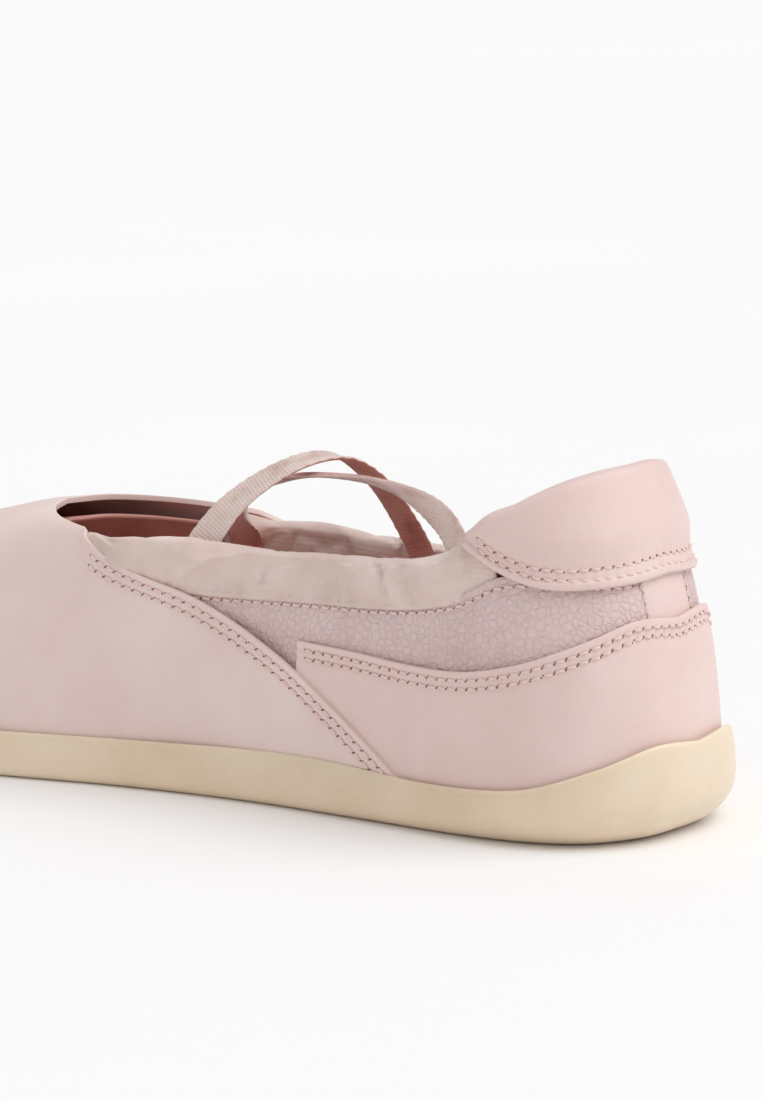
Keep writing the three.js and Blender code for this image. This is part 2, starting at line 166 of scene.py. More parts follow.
def tangents(s, h):
    """Along the ring, up the wall, and outward, as unit vectors."""
    s, h = np.broadcast_arrays(np.asarray(s, float), np.asarray(h, float))
    along = surface(s + 0.6, h) - surface(s - 0.6, h)
    lo, hi = np.clip(h - 0.015, 0, 1), np.clip(h + 0.015, 0, 1)
    up = surface(s, hi) - surface(s, lo)
    n = np.cross(along, up)
    # on the vamp's ridge both sides share one normal
    other = np.cross(surface(-s + 0.6, h) - surface(-s - 0.6, h), surface(-s, hi) - surface(-s, lo))
    k = ((folded(s) >= THROAT - 1) * np.clip((h - 0.9) / 0.1, 0, 1) * 0.5)[..., None]
    n = unit(unit(n) * (1 - k) + unit(other) * k)
    return unit(along), unit(up), n


def climb(s, z):
    """h at a height above the ground."""
    s = np.asarray(s, float)
    lo, hi = np.zeros_like(s), np.ones_like(s)
    for _ in range(26):
        mid = (lo + hi) / 2
        low = surface(s, mid)[..., 2] < z
        lo, hi = np.where(low, mid, lo), np.where(low, hi, mid)
    return (lo + hi) / 2


def at(s, h, off):
    return surface(s, h) + tangents(s, h)[2] * np.asarray(off, float)[..., None]


# ---------- meshes ----------
def to_world(p):
    p = np.asarray(p, float).reshape(-1, 3)
    return (p - [MX, MY, 0]) / 1000


def smooth(t):
    t = np.clip(t, 0, 1)
    return t * t * (3 - 2 * t)


def new_object(name, points, faces, material, shade=True):
    me = bpy.data.meshes.new(name)
    me.from_pydata([tuple(p) for p in to_world(points)], [], [tuple(f) for f in faces])
    me.validate()
    if material:
        me.materials.append(material)
    me.update()
    if shade:
        me.polygons.foreach_set("use_smooth", [True] * len(me.polygons))
    o = bpy.data.objects.new(name, me)
    bpy.context.scene.collection.objects.link(o)
    return o


def quads(rows, cols, closed_rows=False, start=0):
    i = np.arange(rows if closed_rows else rows - 1)
    j = np.arange(cols - 1)
    a = (i[:, None] * cols + j).ravel()
    b = (((i[:, None] + 1) % rows) * cols + j).ravel()
    return (np.stack([a, b, b + 1, a + 1], 1) + start).tolist()


def shell(name, outer, inner, material, bevel=0.35):
    """A closed panel between two grids of points, with softened edges."""
    r, c = outer.shape[:2]
    n = r * c
    faces = quads(r, c)
    faces += [f[::-1] for f in quads(r, c, start=n)]
    ring = ([i * c for i in range(r)] + [(r - 1) * c + j for j in range(1, c)]
            + [i * c + c - 1 for i in range(r - 2, -1, -1)] + [j for j in range(c - 2, 0, -1)])
    for a, b in zip(ring, ring[1:] + ring[:1]):
        faces.append([b, a, a + n, b + n])
    o = new_object(name, np.concatenate([outer.reshape(-1, 3), inner.reshape(-1, 3)]), faces,
                   material)
    weld_and_face_out(o)
    if bevel:
        m = o.modifiers.new("edge", "BEVEL")
        m.width, m.segments, m.limit_method, m.angle_limit = bevel / 1000, 3, "ANGLE", 0.9
        m.harden_normals = False
    return o


def weld_and_face_out(o, reach=1e-5):
    bm = bmesh.new()
    bm.from_mesh(o.data)
    bmesh.ops.remove_doubles(bm, verts=bm.verts, dist=reach)
    bmesh.ops.recalc_face_normals(bm, faces=bm.faces)
    bm.to_mesh(o.data)
    bm.free()


def spread(a, b, step):
    return np.linspace(a, b, max(3, int(round(abs(b - a) / step)) + 1))


def panel(name, s, low, high, cols, near, far, material, relief=None, bevel=0.35):
    """A layer of leather over the surface; low and high give h along s."""
    t = np.linspace(0, 1, cols)
    S = s[:, None] + 0 * t
    h = low[:, None] + (high - low)[:, None] * t
    extra = relief(S, h, t[None, :] + 0 * S) if relief else 0
    return shell(name, at(S, h, far + extra), at(S, h, near + 0 * S), material, bevel)


# ---------- materials ----------
def srgb(r, g, b):
    def lin(v):
        v /= 255
        return v / 12.92 if v <= 0.04045 else ((v + 0.055) / 1.055) ** 2.4
    return (lin(r), lin(g), lin(b), 1)


class Paint:
    """Helpers round one material's node tree."""

    def __init__(self, name):
        self.mat = bpy.data.materials.new(name)
        self.mat.use_nodes = True
        self.t = self.mat.node_tree
        self.bsdf = self.t.nodes["Principled BSDF"]
        self.coords = self.node("ShaderNodeTexCoord").outputs["Object"]

    def node(self, kind, **props):
        n = self.t.nodes.new(kind)
        for k, v in props.items():
            setattr(n, k, v)
        return n

    def link(self, a, b):
        self.t.links.new(a, b)

    def scaled(self, x, y, z):
        m = self.node("ShaderNodeMapping")
        m.inputs["Scale"].default_value = (x, y, z)
        self.link(self.coords, m.inputs["Vector"])
        return m.outputs["Vector"]

    def noise(self, scale, detail=4, rough=0.55, vector=None):
        n = self.node("ShaderNodeTexNoise")
        n.inputs["Scale"].default_value = scale
        n.inputs["Detail"].default_value = detail
        n.inputs["Roughness"].default_value = rough
        self.link(vector or self.coords, n.inputs["Vector"])
        return n.outputs["Fac"]

    def cells(self, scale, feature="F1", vector=None, smoothness=None):
        n = self.node("ShaderNodeTexVoronoi", feature=feature)
        n.inputs["Scale"].default_value = scale
        if smoothness is not None:
            n.inputs["Smoothness"].default_value = smoothness
        self.link(vector or self.coords, n.inputs["Vector"])
        return n.outputs["Distance"]

    def ramp(self, fac, stops):
        r = self.node("ShaderNodeValToRGB")
        e = r.color_ramp.elements
        while len(e) < len(stops):
            e.new(0.5)
        for el, (p, c) in zip(e, stops):
            el.position = p
            el.color = c if len(c) == 4 else (*c, 1)
        self.link(fac, r.inputs["Fac"])
        return r.outputs["Color"]

    def math(self, op, a, b):
        m = self.node("ShaderNodeMath", operation=op)
        for i, v in enumerate((a, b)):
            if isinstance(v, (int, float)):
                m.inputs[i].default_value = v
            else:
                self.link(v, m.inputs[i])
        return m.outputs[0]

    def mix(self, fac, a, b, blend="MIX"):
        m = self.node("ShaderNodeMix", data_type="RGBA", blend_type=blend)
        for socket, v in ((m.inputs[0], fac), (m.inputs[6], a), (m.inputs[7], b)):
            if isinstance(v, (int, float)) or isinstance(v, tuple):
                socket.default_value = v
            else:
                self.link(v, socket)
        return m.outputs[2]

    def bump(self, height, strength, distance, after=None):
        b = self.node("ShaderNodeBump")
        b.inputs["Strength"].default_value = strength
        b.inputs["Distance"].default_value = distance
        self.link(height, b.inputs["Height"])
        if after is not None:
            self.link(after, b.inputs["Normal"])
        return b.outputs["Normal"]

    def done(self, colour, rough, normal=None, **values):
        if isinstance(colour, tuple):
            self.bsdf.inputs["Base Color"].default_value = colour
        else:
            self.link(colour, self.bsdf.inputs["Base Color"])
        if isinstance(rough, float):
            self.bsdf.inputs["Roughness"].default_value = rough
        else:
            self.link(rough, self.bsdf.inputs["Roughness"])
        if normal is not None:
            self.link(normal, self.bsdf.inputs["Normal"])
        for k, v in values.items():
            self.bsdf.inputs[k.replace("_", " ")].default_value = v
        return self.mat


def paler_convex_edges(p, colour, light, amount=0.5):
    """Lighter where the surface turns outward."""
    g = p.node("ShaderNodeNewGeometry").outputs["Pointiness"]
    f = p.ramp(g, [(0.52, (0, 0, 0)), (0.6, (1, 1, 1))])
    return p.mix(p.math("MULTIPLY", f, amount), colour, light)


def leather(name, base, dark, light, grain=900, depth=0.00012, rough=(0.36, 0.5), strength=0.35,
            coarse=False):
    p = Paint(name)
    patch = p.noise(38, 5, 0.6)
    colour = p.ramp(patch, [(0.3, dark), (0.5, base), (0.72, light)])
    fine = p.cells(grain, "SMOOTH_F1", smoothness=0.6)
    pores = p.noise(grain * 2.4, 3, 0.6)
    height = p.math("ADD", p.math("MULTIPLY", fine, 0.7), p.math("MULTIPLY", pores, 0.35))
    normal = p.bump(height, strength, depth)
    if coarse:
        warp = p.noise(210, 3)
        big = p.cells(grain * 0.55, "DISTANCE_TO_EDGE")
        crease = p.ramp(big, [(0.0, (0, 0, 0)), (0.16, (1, 1, 1))])
        normal = p.bump(crease, 0.45, depth * 1.2, normal)
        # Painted shade: the grain's creases are mixed towards the dark tone.
        colour = p.mix(p.math("MULTIPLY", p.math("SUBTRACT", 1.0, crease), 0.16), colour, dark)
        normal = p.bump(warp, 0.25, 0.0004, normal)
    else:
        normal = p.bump(p.noise(120, 3), 0.12, 0.0006, normal)
    colour = paler_convex_edges(p, colour, light, 0.4)
    r = p.math("ADD", rough[0], p.math("MULTIPLY", p.noise(85, 4), rough[1] - rough[0]))
    return p.done(colour, r, normal, Subsurface_Weight=0.08, Subsurface_Scale=0.002,
                  Specular_IOR_Level=0.42)


SMOOTH = leather("smooth_leather", srgb(231, 205, 199), srgb(227, 199, 193), srgb(236, 212, 206))
VAMP = leather("vamp_leather", srgb(233, 210, 204), srgb(229, 204, 198), srgb(238, 217, 211))
GRAIN = leather("grain_leather", srgb(222, 197, 194), srgb(209, 182, 179), srgb(229, 206, 202),
                grain=1100, depth=0.00036, rough=(0.38, 0.56), strength=0.6, coarse=True)
INSET = leather("backstay_leather", srgb(230, 204, 199), srgb(226, 198, 193), srgb(235, 211, 206))


def satin():
    p = Paint("collar_satin")
    rib = p.node("ShaderNodeTexWave", wave_type="BANDS", bands_direction="Z")
    rib.inputs["Scale"].default_value = 300
    rib.inputs["Distortion"].default_value = 1.5
    p.link(p.coords, rib.inputs["Vector"])
    knit = p.cells(2200, "F1")
    colour = p.ramp(p.noise(60, 5), [(0.3, srgb(205, 180, 171)), (0.55, srgb(222, 199, 190)),
                                     (0.75, srgb(233, 213, 205))])
    n = p.bump(rib.outputs["Fac"], 0.25, 0.00012)
    n = p.bump(knit, 0.3, 0.00008, n)
    n = p.bump(p.noise(170, 4), 0.25, 0.0005, n)
    return p.done(colour, 0.5, n, Sheen_Weight=0.35, Sheen_Roughness=0.4,
                  Subsurface_Weight=0.06, Subsurface_Scale=0.002)


def textile(name, base, dark, light, scale=1500, sheen=0.3):
    p = Paint(name)
    warp = p.node("ShaderNodeTexWave", wave_type="BANDS", bands_direction="Y")
    warp.inputs["Scale"].default_value = scale / 3
    weft = p.node("ShaderNodeTexWave", wave_type="BANDS", bands_direction="Z")
    weft.inputs["Scale"].default_value = scale / 3
    for w in (warp, weft):
        w.inputs["Distortion"].default_value = 0.6
        p.link(p.coords, w.inputs["Vector"])
    weave = p.math("MAXIMUM", warp.outputs["Fac"], weft.outputs["Fac"])
    tone = p.ramp(p.noise(90, 5), [(0.3, dark), (0.5, base), (0.72, light)])
    colour = p.mix(p.math("MULTIPLY", weave, 0.12), tone, dark)
    n = p.bump(weave, 0.4, 0.00012)
    n = p.bump(p.noise(2400, 2), 0.3, 0.0001, n)
    return p.done(colour, 0.85, n, Sheen_Weight=sheen, Sheen_Roughness=0.5)


def gum():
    p = Paint("gum_rubber")
    tone = p.ramp(p.noise(30, 4), [(0.3, srgb(224, 200, 172)), (0.55, srgb(235, 214, 189)),
                                   (0.8, srgb(240, 223, 203))])
    specks = p.ramp(p.noise(900, 3, 0.7), [(0.64, (0, 0, 0)), (0.7, (1, 1, 1))])
    colour = p.mix(p.math("MULTIPLY", specks, 0.12), tone, srgb(205, 178, 148))
    colour = paler_convex_edges(p, colour, srgb(244, 229, 211), 0.4)
    n = p.bump(p.noise(420, 5), 0.22, 0.0003)
    n = p.bump(p.noise(60, 3), 0.15, 0.001, n)
    r = p.math("ADD", 0.34, p.math("MULTIPLY", p.noise(70, 4), 0.16))
    return p.done(colour, r, n, Subsurface_Weight=0.35, Subsurface_Scale=0.004,
                  Subsurface_Radius=(1.0, 0.6, 0.35))


def thread(name, base, dark):
    p = Paint(name)
    twist = p.node("ShaderNodeTexWave", wave_type="BANDS", bands_direction="DIAGONAL")
    twist.inputs["Scale"].default_value = 900
    p.link(p.coords, twist.inputs["Vector"])
    colour = p.mix(p.math("MULTIPLY", twist.outputs["Fac"], 0.35), base, dark)
    n = p.bump(twist.outputs["Fac"], 0.5, 0.00008)
    return p.done(colour, 0.5, n, Sheen_Weight=0.2)


def needle_hole_shadows():
    # Dark brown for the small domes at the stitch ends: painted shadow of the needle holes.
    p = Paint("needle_hole_shadows")
    return p.done(p.ramp(p.noise(800), [(0.3, srgb(120, 78, 68)), (0.7, srgb(148, 104, 92))]), 0.9)


def elastic(name, base, dark, light):
    p = Paint(name)
    uv = p.node("ShaderNodeUVMap", uv_map="band").outputs["UV"]
    sep = p.node("ShaderNodeSeparateXYZ")
    p.link(uv, sep.inputs[0])
    # u runs across in millimetres, v along in millimetres
    across = p.math("ABSOLUTE", p.math("SINE", p.math("MULTIPLY", sep.outputs["X"], 5.2), 0), 0)
    along = p.math("ABSOLUTE", p.math("SINE", p.math("MULTIPLY", sep.outputs["Y"], 4.2), 0), 0)
    weave = p.math("MULTIPLY", across, along)
    tone = p.ramp(p.noise(140, 4), [(0.3, dark), (0.5, base), (0.72, light)])
    # Painted shade: the gaps between the ribs are mixed towards the dark tone.
    colour = p.mix(p.math("MULTIPLY", p.math("SUBTRACT", 1.0, weave), 0.3), tone, dark)
    n = p.bump(weave, 0.7, 0.00025)
    return p.done(colour, 0.75, n, Sheen_Weight=0.3, Subsurface_Weight=0.1,
                  Subsurface_Scale=0.001)


SATIN = satin()
LINING = textile("lining_textile", srgb(206, 150, 137), srgb(186, 126, 113), srgb(220, 168, 155))
SOCK = textile("sock_textile", srgb(214, 166, 152), srgb(194, 142, 128), srgb(226, 182, 168))
GUM = gum()
THREAD = thread("thread_pink", srgb(240, 212, 206), srgb(214, 178, 170))
ZIGZAG = thread("thread_pale", srgb(244, 226, 220), srgb(220, 190, 183))
HOLE_SHADOW_MAT = needle_hole_shadows()
# The band's face has the elastic's own pale pink; the back is a darker, pinker copy of it, painted
# shade.
BAND_OUT = elastic("elastic_face", srgb(236, 214, 206), srgb(206, 172, 160), srgb(244, 226, 219))
BAND_PAINTED_SHADE = elastic("elastic_back_painted_shade", srgb(212, 150, 136), srgb(178, 112, 98), srgb(224, 168, 154))


# ---------- outsole ----------
def side_point(s, d, z):
    s, d, z = np.broadcast_arrays(s, d, z)
    a, b, c = (_footprint(wrap(v)) * [KX, KY] for v in (s - 0.5, s + 0.5, s))
    t = unit(b - a)
    return np.stack([c[..., 0] + t[..., 1] * d, c[..., 1] - t[..., 0] * d, z], -1)


_spine = curve([[0, 0, 30], [60, 0, 60], [150, -1, 145], [220, -4, 195], [275, -5, 215]])


def spine_point(s, z):
    p = _spine(folded(s)) * [KX, KY]
    return np.concatenate([p, np.broadcast_to(z, s.shape)[..., None]], -1)


def ring_body(name, profile, material):
    s = np.linspace(-TIP, TIP, 441)
    rows = np.stack(profile(s), 1)
    o = new_object(name, rows.reshape(-1, 3), quads(*rows.shape[:2]), material)
    weld_and_face_out(o, 3e-6)
    return o


LIP_OUT, LIP_HALF, LIP_RISE = 3.25, 0.7, 1.1
HEEL_SLIM, HEEL_REACH = 0.55, 60


def sole_profile(s):
    """The section from the spine out along the underside, up the wall, over the lip and back in."""
    top, lift = sole_top(s), sole_lift(s) / KZ
    wide = CUP_OUT - HEEL_SLIM * np.clip(1 - folded(s) / HEEL_REACH, 0, 1)
    tuck = np.minimum(lift * 1.05, 10.5)
    rows = [spine_point(s, 0 * s)]
    for k in np.linspace(0.2, 0.95, 5):
        a, b = spine_point(s, 0 * s), side_point(s, wide - tuck, 0 * s)
        rows.append(a + (b - a) * k)
    for turn in np.linspace(0, np.pi / 2, 9):
        rows.append(side_point(s, wide - tuck * (1 - math.sin(turn)), lift * (1 - math.cos(turn))))
    for k in np.linspace(0.12, 0.9, 7):
        z = lift + (top - LIP_RISE - lift) * k
        rows.append(side_point(s, wide - (wide - LIP_OUT) * k**2.2, z))
    for turn in np.linspace(0, np.pi, 9):
        rows.append(side_point(s, LIP_OUT - LIP_HALF + LIP_HALF * np.cos(turn),
                               top - LIP_RISE + LIP_RISE * math.sin(turn)))
    rows.append(side_point(s, CUP_IN, top - 3))
    rows.append(side_point(s, CUP_IN, 0 * s + SOLE_FLOOR))
    rows.append(spine_point(s, 0 * s + SOLE_FLOOR))
    return rows


outsole = ring_body("gum_outsole", sole_profile, GUM)
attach(outsole, "root")
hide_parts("outsole")


SOCK_INSET, SOCK_LOW, SOCK_MIDDLE = 5.6, 9.7, 11.2
SOCK_EDGE = ((0, SOCK_LOW), (0, 10.9), (0.35, 11.3), (1.0, 11.5), (3, 11.45))


def sock_profile(s):
    """The section of the sock: up its rounded edge, then in over the top, a little hollow."""
    rows = [spine_point(s, 0 * s + SOCK_LOW)]
    for d, z in SOCK_EDGE:
        rows.append(side_point(s, -SOCK_INSET - d, 0 * s + z))
    d, z = SOCK_EDGE[-1]
    for k in np.linspace(0.15, 1, 10):
        a, b = side_point(s, -SOCK_INSET - d, 0 * s + z), spine_point(s, 0 * s + SOCK_MIDDLE)
        rows.append(a + (b - a) * k)
    return rows


sock = ring_body("sock", sock_profile, SOCK)
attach(sock, "root")
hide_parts("sock_liner", "midsole_cushion")


# ---------- small undulations of the hand-lasted leather ----------
def ripple(s, z, seed, size):
    r = np.random.default_rng(seed)
    out = 0 * s
    for _ in range(7):
        a, b, c, d = r.uniform(0.04, 0.16), r.uniform(0.05, 0.2), r.uniform(0, 6.3), r.uniform(-1, 1)
        out = out + d * np.sin(a * s + b * z + c)
    return out * size / 3


def groove(distance, depth=0.35, width=0.7):
    return -depth * np.exp(-(distance / width) ** 2)


def slope_factor(line, s):
    d = line(s + 0.5) - line(s - 0.5)
    return np.sqrt(1 + d * d)


def row_height(line, s, below):
    return line(s) - below * slope_factor(line, s)


def pucker(distance, s, pitch=2.5, depth=0.12):
    return -depth * np.exp(-(distance / 1.6) ** 2) * (0.5 + 0.5 * np.cos(2 * np.pi * s / pitch))


# ---------- quarters, backstay, foxing ----------
QUARTER_ROW = 2.0


def quarter_relief(S, h, t):
    z = surface(S, h)[..., 2]
    gap = row_height(quarter_top, S, QUARTER_ROW) - z
    return ripple(S, z, 3, 0.22) + groove(gap) + pucker(gap, S)


made = []
for side, sign in (("medial", -1), ("lateral", 1)):
    s = np.sort(spread(sign * (BACKSTAY + 0.1), sign * QUARTER_END, 1.2))
    top = climb(s, quarter_top(s))
    o = panel(f"quarter_{side}_leather", s, 0 * s, top, 44, -1.2, 0.0, GRAIN, quarter_relief)
    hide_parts(f"quarter_{side}")
    made.append(o)

s = spread(-BACKSTAY, BACKSTAY, 1.0)
o = panel("backstay_leather", s, 0 * s, climb(s, quarter_top(s) + 0.8), 44, -1.2, 0.05, INSET,
          lambda S, h, t: 0.1 * np.cos(S / BACKSTAY * 1.5) - 0.15 * smooth((np.abs(S) - 7) / 1))
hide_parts("backstay")
made.append(o)

s = spread(-FOX_END, FOX_END, 1.1)
fox_high = climb(s, foxing_top(s))
fox_low = np.where(folded(s) <= WING_END, 0, np.minimum(climb(s, wing_top(s) - 2.5), fox_high - 0.01))


FOX_ROWS = (1.7, 3.4)


def foxing_relief(S, h, t):
    z = surface(S, h)[..., 2]
    out = ripple(S, z, 11, 0.3)
    for below in FOX_ROWS:
        gap = row_height(foxing_top, S, below) - z
        out = out + groove(gap, 0.25, 0.55) + pucker(gap, S)
    return out


o = panel("heel_foxing_leather", s, fox_low, fox_high, 40, 0.3, 1.45, SMOOTH, foxing_relief)
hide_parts("heel_foxing")
made.append(o)


# ---------- vamp ----------
def vamp_edge(s):
    return np.where(folded(s) >= WING_TOP, 1.0, climb(s, wing_top(s)))


def vamp_grid(off, relief=None, start=WING_END):
    s = np.concatenate([spread(start, THROAT, 1.3), spread(THROAT, TIP, 1.3)[1:]])
    t = np.linspace(0, 1, 52)
    halves = []
    for sign in (1, -1):
        S = (sign * s)[:, None] + 0 * t
        h = vamp_edge(sign * s)[:, None] * t
        extra = relief(S, h) if relief else 0 * S
        halves.append(at(S, h, off + extra))
    return halves


WING_ROWS = (1.6, 3.4)


def vamp_relief(S, h):
    z = surface(S, h)[..., 2]
    d = folded(S)
    out = ripple(np.abs(S), z, 5, 0.25) * (1 - smooth((d - 240) / 25)) * (1 - smooth((h - 0.8) / 0.15))
    edge = np.where(d < WING_TOP, wing_top(S) - z, 99)
    edge = edge / np.where(d < WING_TOP, slope_factor(wing_top, S), 1)
    for below in WING_ROWS:
        out = out + groove(edge - below, 0.22, 0.5)
    return out + 0.85 * (1 - smooth((d - 100) / 22))


def two_sided(name, outer, thick, material, bevel=0.35):
    """One sheet from a pair of half grids that meet along the ridge and at the toe, thickened inward."""
    faces = []
    r, c = outer[0].shape[:2]
    n = r * c
    for k in (0, 1):
        f = quads(r, c, start=k * n)
        faces += f if k == 0 else [q[::-1] for q in f]
    o = new_object(name, np.concatenate([g.reshape(-1, 3) for g in outer]), faces, material)
    weld_and_face_out(o, 2e-5)
    m = o.modifiers.new("thickness", "SOLIDIFY")
    m.thickness = thick / 1000
    m.offset = -1
    if bevel:
        b = o.modifiers.new("edge", "BEVEL")
        b.width, b.segments, b.limit_method, b.angle_limit = bevel / 1000, 3, "ANGLE", 0.9
    return o


o = two_sided("vamp_leather", vamp_grid(1.5, vamp_relief), 1.1, VAMP)
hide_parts("vamp")
made.append(o)
o = two_sided("vamp_lining_textile", vamp_grid(VAMP_IN + 0.9, None, QUARTER_END + 3), 0.9, LINING, 0)
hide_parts("vamp_lining")
made.append(o)


# ---------- rolled top edges ----------
def roll(name, s, low_h, depth_in, out_off, in_off, material, bulge=None, thick=0.7, cloth=None,
         drop=lambda s: 0 * s):
    """Leather or textile that climbs the outside, turns over the top line and goes down inside.
    drop says how far below the collar line it turns over."""
    rows = []
    ups = np.linspace(0, 1, 26)
    top_h = climb(s, surface(s, 1.0)[:, 2] - drop(s))
    for t in ups:
        h = low_h + (top_h - low_h) * t
        extra = bulge(s, h, t) if bulge else 0 * s
        rows.append(at(s, h, out_off + extra))
    P = surface(s, top_h)
    _, up, n = tangents(s, top_h)
    mid, rad = (out_off + in_off) / 2, (out_off - in_off) / 2
    extra = (bulge(s, 0 * s + 1, 1.0) if bulge else 0) + 0 * s
    for a in np.linspace(0, np.pi, 16)[1:]:
        c, q = math.cos(a), math.sin(a)
        rows.append(P + n * (mid + (rad + extra * max(c, 0)) * c)[:, None]
                    + up * (rad * 0.72 * q))
    zt = P[:, 2]
    for t in np.linspace(0, 1, 12)[1:]:
        h = climb(s, zt - depth_in * t)
        rows.append(at(s, h, in_off + 0.25 * math.sin(math.pi * t)))
    g = np.stack(rows, 1)
    o = new_object(name, g.reshape(-1, 3), quads(*g.shape[:2]), material)
    if cloth:
        r, c = g.shape[:2]
        i, j = np.divmod(np.arange(r * c), c)
        held = (i < 3) | (i > r - 4) | (j < cloth["low"]) | (j > c - 4)
        held |= folded(s)[i] < cloth.get("under", 0)
        settle(o, np.nonzero(held)[0], cloth["swell"], cloth["push"], cloth["cap"])
    m = o.modifiers.new("thickness", "SOLIDIFY")
    m.thickness, m.offset = thick / 1000, -1
    return o


def settle(o, pinned, swell, push, cap, frames=16):
    """Cloth: the piece is cut a little large between its seams, so it puckers and puffs. It is
    worked out twenty times larger than life, where the solver is steady."""
    k = 20.0
    tmp = bpy.data.objects.new(o.name + "_cloth", o.data.copy())
    bpy.context.scene.collection.objects.link(tmp)
    n = len(tmp.data.vertices)
    rest = np.empty(n * 3)
    tmp.data.vertices.foreach_get("co", rest)
    tmp.data.vertices.foreach_set("co", rest * k)
    tmp.data.update()
    g = tmp.vertex_groups.new(name="seams")
    g.add([int(i) for i in pinned], 1.0, "REPLACE")
    m = tmp.modifiers.new("cloth", "CLOTH")
    c = m.settings
    c.quality, c.mass = 6, 0.25
    c.tension_stiffness = c.compression_stiffness = 12
    c.shear_stiffness, c.bending_stiffness = 5, 1.2
    c.tension_damping = c.compression_damping = 12
    c.vertex_group_mass = "seams"
    c.shrink_min = -swell
    c.use_pressure = True
    c.uniform_pressure_force = push
    c.effector_weights.gravity = 0
    m.collision_settings.use_collision = False
    m.point_cache.frame_start, m.point_cache.frame_end = 1, frames
    scene = bpy.context.scene
    for f in range(1, frames + 1):
        scene.frame_set(f)
    got = np.empty(n * 3)
    seen = tmp.evaluated_get(bpy.context.evaluated_depsgraph_get()).to_mesh()
    seen.vertices.foreach_get("co", got)
    move = (got / k - rest).reshape(-1, 3)
    far = np.linalg.norm(move, axis=1, keepdims=True)
    move *= np.minimum(1, cap / 1000 / np.maximum(far, 1e-9))
    move[~np.isfinite(move)] = 0
    o.data.vertices.foreach_set("co", (rest.reshape(-1, 3) + move).ravel())
    o.data.update()
    scene.frame_set(1)
    bpy.data.objects.remove(tmp)


def collar_bulge(s, h, t):
    """The padding's swell, with small folds near the tab. It dies away before it goes under the tab."""
    clear = smooth((folded(s) - TAB_END + 1) / 9)
    w = 1.1 * clear * math.sin(math.pi * min(1, t * 0.8 + 0.12))
    near = np.exp(-((folded(s) - TAB_END) / 22) ** 2)
    folds = 0.28 * clear * near * np.sin(s * 1.9 + 5 * t) * math.sin(math.pi * min(1, t + 0.1))
    wave = ripple(s, 40 * t + 0 * s, 21, 0.2) * math.sin(math.pi * min(1, t + 0.05))
    return w + folds + wave * clear


for side, sign in (("medial", -1), ("lateral", 1)):
    s = np.sort(spread(sign * (TAB_END - 6), sign * (QUARTER_END + 3), 1.0))
    low = climb(s, quarter_top(s) - 1.5)
    o = roll(f"collar_{side}_padded", s, low, 9, -0.45, LINING_IN, SATIN, collar_bulge,
             cloth={"low": 3, "swell": 0.05, "push": 1.5, "cap": 1.1, "under": TAB_END + 2},
             drop=lambda s: 5.0 * smooth((TAB_END + 3 - folded(s)) / 9))
    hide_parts(f"collar_{side}", f"collar_foam_{side}")
    made.append(o)
    s = np.sort(spread(sign * (TAB_END - 2), sign * QUARTER_END, 1.5))
    top = climb(s, surface(s, 1.0)[:, 2] - 6)
    o = panel(f"lining_{side}_textile", s, 0 * s, top, 20, LINING_IN + 0.1, LINING_IN + 0.9, LINING,
              bevel=0)
    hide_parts(f"quarter_lining_{side}")
    made.append(o)


TAB_ROWS = (1.9, 3.8)


def tab_bulge(s, h, t):
    e = np.clip((TAB_END + 1 - folded(s)) / 9, 0, 1)
    z = surface(s, h)[..., 2]
    low = z - tab_bottom(s)
    out = 1.5 * smooth(e) * smooth((low - 3.6) / 6) * (1 - 0.35 * t)
    out = out + 0.5 * smooth(low / 0.5) * (1 - smooth((low - 1.2) / 0.6))
    for above in TAB_ROWS:
        out = out + groove(low - above, 0.3, 0.5) + pucker(low - above, s)
    return out + ripple(s, z, 31, 0.25) * smooth(low / 8)


s = spread(-TAB_END - 1, TAB_END + 1, 0.8)
o = roll("heel_tab_padded", s, climb(s, tab_bottom(s)), 12, 1.2, LINING_IN, SMOOTH, tab_bulge, 1.0,
         cloth={"low": 9, "swell": 0.012, "push": 1.0, "cap": 0.7},
         drop=lambda s: 3.6 * smooth((TAB_END - 2 - folded(s)) / 14))
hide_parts("heel_tab", "heel_tab_foam")
made.append(o)
s = spread(-TAB_END, TAB_END, 1.5)
o = panel("heel_lining_textile", s, 0 * s, climb(s, surface(s, 1.0)[:, 2] - 10), 24, LINING_IN,
          LINING_IN + 0.9, LINING, bevel=0)
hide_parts("heel_lining")
made.append(o)

for o in made:
    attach(o, "root")


# ---------- stitching ----------
def capsule(p, q, out, r, arch):
    """One stitch from p to q, lifted a little in its middle. Returns points and quads."""
    steps, sides = 6, 7
    axis = unit(q - p)
    side = unit(np.cross(axis, out))
    pts = []
    for i in range(steps + 1):
        t = i / steps
        c = p + (q - p) * t + out * (arch * math.sin(math.pi * t) - 0.10)
        k = r * (0.35 + 0.65 * math.sin(math.pi * min(max(t, 0.06), 0.94)) ** 0.5)
        for j in range(sides):
            a = 2 * math.pi * j / sides
            pts.append(c + (side * math.cos(a) + out * math.sin(a)) * k)
    f = []
    for i in range(steps):
        for j in range(sides):
            a, b = i * sides + j, i * sides + (j + 1) % sides
            f.append([a, b, b + sides, a + sides])
    f.append(list(range(sides))[::-1])
    f.append([steps * sides + j for j in range(sides)])
    return pts, f


